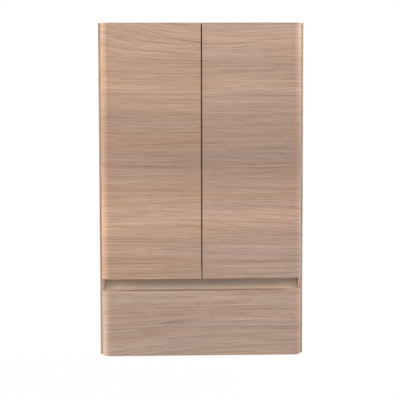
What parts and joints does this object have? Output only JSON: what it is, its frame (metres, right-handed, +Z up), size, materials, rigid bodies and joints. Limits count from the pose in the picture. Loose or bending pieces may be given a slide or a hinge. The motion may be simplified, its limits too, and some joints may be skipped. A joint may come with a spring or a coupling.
{
  "type": "wall cabinet",
  "caption": "Light wood-effect wall cabinet: round-edged hinged doors above a coved grip channel and a full-width drawer on runners.",
  "frame": {"origin": "centre of the upper rear rail's back face, on the wall plane", "axes": "+X to the right seen from the front, +Y into the wall, +Z up; the fronts face -Y"},
  "size_m": [0.7, 0.35, 1.14],
  "materials": {
    "light_wood_decor": "satin light wood-effect laminate with fine horizontal grain",
    "back_board_decor": "matt foil in the same tone",
    "zinc_plated_steel": "bright zinc plate",
    "nickel_plate": "satin nickel plate",
    "clear_bumper": "clear soft polyurethane"
  },
  "bodies": {
    "cabinet_body": {"left_side_panel": "light_wood_decor", "right_side_panel": "light_wood_decor", "top_panel": "light_wood_decor", "bottom_panel": "light_wood_decor", "middle_panel": "light_wood_decor", "upper_rear_rail": "light_wood_decor", "lower_rear_rail": "light_wood_decor", "grip_strip": "light_wood_decor", "lower_shelf": "light_wood_decor", "upper_shelf": "light_wood_decor", "back_panel": "back_board_decor", "lower_shelf_left_front_pin": "nickel_plate", "lower_shelf_left_rear_pin": "nickel_plate", "lower_shelf_right_front_pin": "nickel_plate", "lower_shelf_right_rear_pin": "nickel_plate", "upper_shelf_left_front_pin": "nickel_plate", "upper_shelf_left_rear_pin": "nickel_plate", "upper_shelf_right_front_pin": "nickel_plate", "upper_shelf_right_rear_pin": "nickel_plate", "left_cabinet_hanger": "zinc_plated_steel", "right_cabinet_hanger": "zinc_plated_steel", "left_lower_hinge_plate": "nickel_plate", "left_upper_hinge_plate": "nickel_plate", "left_lower_hinge_arm": "nickel_plate", "left_upper_hinge_arm": "nickel_plate", "right_lower_hinge_plate": "nickel_plate", "right_upper_hinge_plate": "nickel_plate", "right_lower_hinge_arm": "nickel_plate", "right_upper_hinge_arm": "nickel_plate", "left_runner_outer": "zinc_plated_steel", "right_runner_outer": "zinc_plated_steel"},
    "left_door_leaf": {"left_door": "light_wood_decor", "left_lower_hinge_cup": "nickel_plate", "left_upper_hinge_cup": "nickel_plate", "left_door_lower_bumper": "clear_bumper", "left_door_upper_bumper": "clear_bumper"},
    "left_hinge_yokes": {"left_lower_hinge_yoke": "nickel_plate", "left_upper_hinge_yoke": "nickel_plate"},
    "left_hinge_links": {"left_lower_hinge_link": "nickel_plate", "left_upper_hinge_link": "nickel_plate"},
    "right_door_leaf": {"right_door": "light_wood_decor", "right_lower_hinge_cup": "nickel_plate", "right_upper_hinge_cup": "nickel_plate", "right_door_lower_bumper": "clear_bumper", "right_door_upper_bumper": "clear_bumper"},
    "right_hinge_yokes": {"right_lower_hinge_yoke": "nickel_plate", "right_upper_hinge_yoke": "nickel_plate"},
    "right_hinge_links": {"right_lower_hinge_link": "nickel_plate", "right_upper_hinge_link": "nickel_plate"},
    "drawer_box": {"drawer_front": "light_wood_decor", "drawer_left_side": "light_wood_decor", "drawer_right_side": "light_wood_decor", "drawer_back": "light_wood_decor", "drawer_bottom": "back_board_decor", "left_runner_inner": "zinc_plated_steel", "right_runner_inner": "zinc_plated_steel"},
    "runner_middles": {"left_runner_middle": "zinc_plated_steel", "right_runner_middle": "zinc_plated_steel"}
  },
  "joints": [
    {"name": "left_door_swing", "type": "hinge", "parent": "cabinet_body", "child": "left_door_leaf", "pos_m": [-0.3375, -0.326, -0.3707], "axis": [0, 0, -1], "range_deg": [0, 110]},
    {"name": "left_yoke_turn", "type": "hinge", "parent": "cabinet_body", "child": "left_hinge_yokes", "pos_m": [-0.3175, -0.302, -0.3707], "axis": [0, 0, -1], "range_deg": [0, 110]},
    {"name": "left_link_turn", "type": "hinge", "parent": "left_door_leaf", "child": "left_hinge_links", "pos_m": [-0.3135, -0.316, -0.3707], "axis": [0, 0, 1], "range_deg": [0, 110]},
    {"name": "right_door_swing", "type": "hinge", "parent": "cabinet_body", "child": "right_door_leaf", "pos_m": [0.3375, -0.326, -0.3707], "axis": [0, 0, 1], "range_deg": [0, 110]},
    {"name": "right_yoke_turn", "type": "hinge", "parent": "cabinet_body", "child": "right_hinge_yokes", "pos_m": [0.3175, -0.302, -0.3707], "axis": [0, 0, 1], "range_deg": [0, 110]},
    {"name": "right_link_turn", "type": "hinge", "parent": "right_door_leaf", "child": "right_hinge_links", "pos_m": [0.3135, -0.316, -0.3707], "axis": [0, 0, -1], "range_deg": [0, 110]},
    {"name": "drawer_slide", "type": "slide", "parent": "cabinet_body", "child": "drawer_box", "axis": [0, -1, 0], "range_m": [0, 0.27]},
    {"name": "runner_middle_slide", "type": "slide", "parent": "cabinet_body", "child": "runner_middles", "axis": [0, -1, 0], "range_m": [0, 0.135]}
  ],
  "couplings": [
    {"joint": "left_yoke_turn", "follows": "left_door_swing", "ratio": 1},
    {"joint": "left_link_turn", "follows": "left_door_swing", "ratio": 1},
    {"joint": "right_yoke_turn", "follows": "right_door_swing", "ratio": 1},
    {"joint": "right_link_turn", "follows": "right_door_swing", "ratio": 1},
    {"joint": "runner_middle_slide", "follows": "drawer_slide", "ratio": 0.5}
  ]
}
